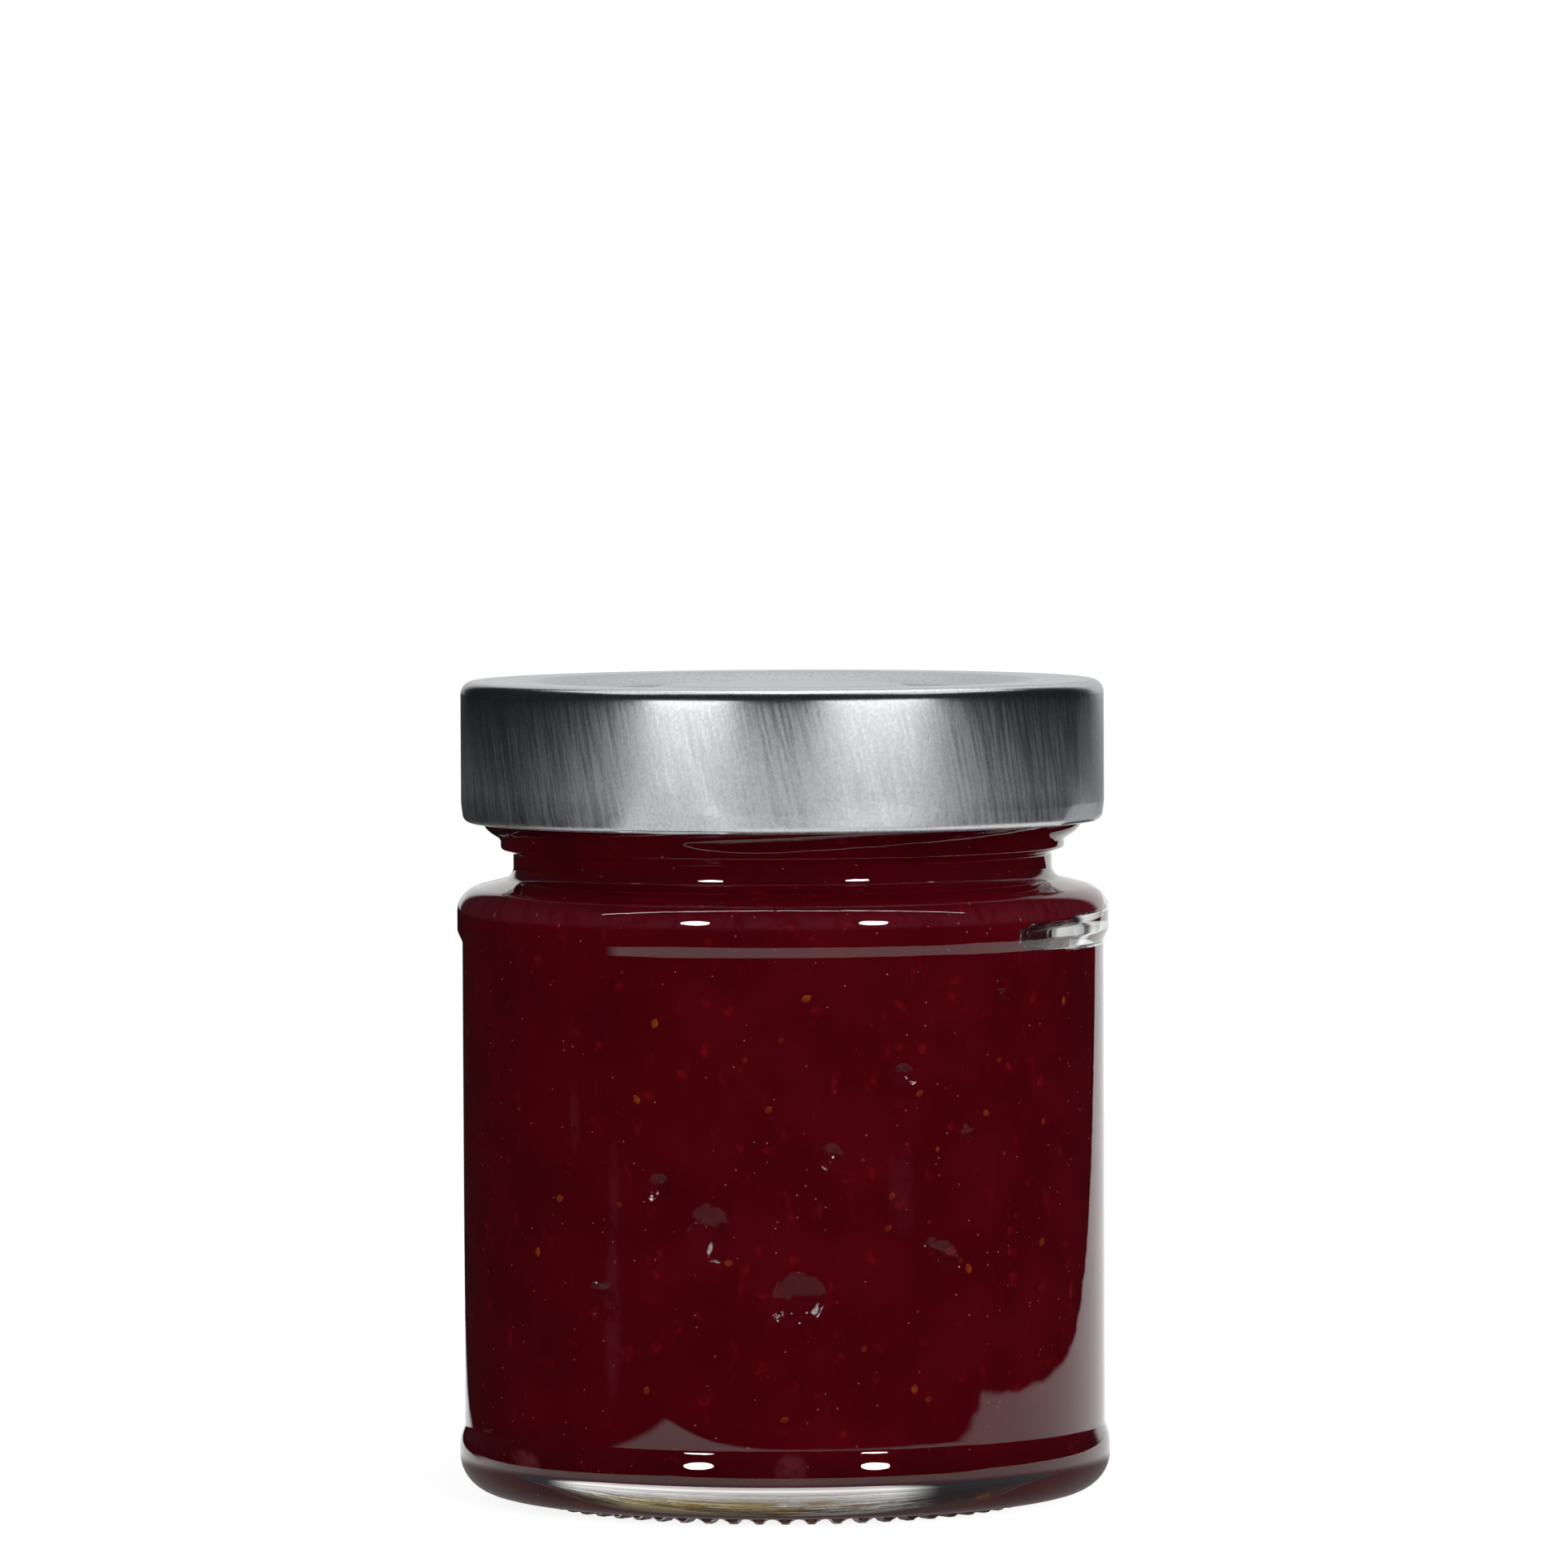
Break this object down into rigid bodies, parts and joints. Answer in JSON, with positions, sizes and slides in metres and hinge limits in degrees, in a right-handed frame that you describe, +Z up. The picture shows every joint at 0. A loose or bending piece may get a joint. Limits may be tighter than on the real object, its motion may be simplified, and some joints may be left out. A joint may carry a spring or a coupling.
{
  "type": "twist-off jar of red jam",
  "caption": "Round clear glass jar filled with dark red jam, shut with a plain silver twist-off lid with a safety button.",
  "frame": {"origin": "centre of the ring of small feet that the jar stands on, at the level of the surface", "axes": "+Z up along the jar's axis, -Y towards the viewer, +X to the viewer's right"},
  "size_m": [0.075, 0.075, 0.0945],
  "materials": {
    "glass": "clear gloss",
    "jam": "deep red jelly with seeds",
    "tinplate": "satin"
  },
  "bodies": {
    "root": {"jar": "glass", "jam": "jam", "lid": "tinplate"}
  },
  "joints": []
}
